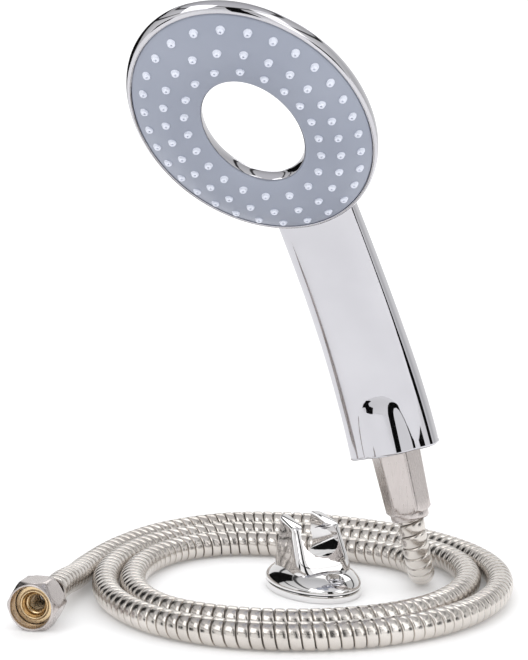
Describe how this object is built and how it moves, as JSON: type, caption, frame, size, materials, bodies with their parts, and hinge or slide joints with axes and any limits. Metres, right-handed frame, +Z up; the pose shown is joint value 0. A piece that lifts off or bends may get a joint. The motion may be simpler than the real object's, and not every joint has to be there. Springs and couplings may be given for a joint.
{
  "type": "handheld shower head",
  "caption": "Chromed handheld shower head with a flat oval open-centred spray ring, a curved handle, a coiled metal hose with screw nuts, and a wall bracket.",
  "frame": {"origin": "bottom centre of the box round the handset and the bracket, the hose left out, on the floor that the set lies on", "axes": "+Z up from the floor, +Y from the pictured front towards the back, +X to the right"},
  "size_m": [0.2583, 0.2802, 0.3024],
  "materials": {
    "chromed_shell": "mirror chrome plating over moulded plastic",
    "chromed_bracket": "mirror chrome plating over moulded plastic",
    "plate_grey": "satin blue-grey plastic",
    "nozzle_silicone": "soft white silicone",
    "inner_plastic": "plain white moulded plastic",
    "seal_rubber": "black rubber",
    "brass": "machined brass",
    "satin_nut": "satin brushed metal",
    "hose_jacket": "wound stainless-steel jacket over a rubber inner tube",
    "screw_chrome": "bright plated steel"
  },
  "bodies": {
    "handset": {"rear_shell": "chromed_shell", "rim_ring": "chromed_shell", "hole_ring": "chromed_shell", "spray_plate": "plate_grey", "nozzle_mat": "nozzle_silicone", "water_chamber": "inner_plastic", "spigot_seal": "seal_rubber", "water_tube": "inner_plastic", "inlet_stub": "brass", "tube_seal": "seal_rubber", "flow_regulator": "inner_plastic", "hose_washer": "seal_rubber", "hose_stem": "brass", "hose_ferrule": "satin_nut", "hose": "hose_jacket", "end_ferrule": "satin_nut", "end_stem": "brass"},
    "nut_carrier": {"slip_ring": "inner_plastic"},
    "cone_nut": {"cone_nut": "satin_nut"},
    "end_nut": {"end_nut": "satin_nut"},
    "bracket": {"bracket_plate": "chromed_bracket", "bracket_body": "chromed_bracket", "bracket_screw_lower": "screw_chrome", "bracket_screw_upper": "screw_chrome"}
  },
  "joints": [
    {"name": "nut_travel", "type": "slide", "parent": "handset", "child": "nut_carrier", "axis": [0.2252, -0.088, -0.9703], "range_m": [0, 0.00545]},
    {"name": "cone_nut_turn", "type": "hinge", "parent": "nut_carrier", "child": "cone_nut", "pos_m": [0.05393, 0.04474, 0.07747], "axis": [0.2252, -0.088, -0.9703], "range_deg": [0, 1080]},
    {"name": "end_nut_turn", "type": "hinge", "parent": "handset", "child": "end_nut", "pos_m": [-0.122, 0.007, 0.0122], "axis": [-0.2419, -0.9703, 0], "continuous": true},
    {"name": "bracket_lift", "type": "slide", "parent": "handset", "child": "bracket", "axis": [0, 0, 1], "range_m": [0, 0.03]}
  ],
  "couplings": [
    {"joint": "nut_travel", "follows": "cone_nut_turn", "m_per_rad": 0.00028871}
  ]
}
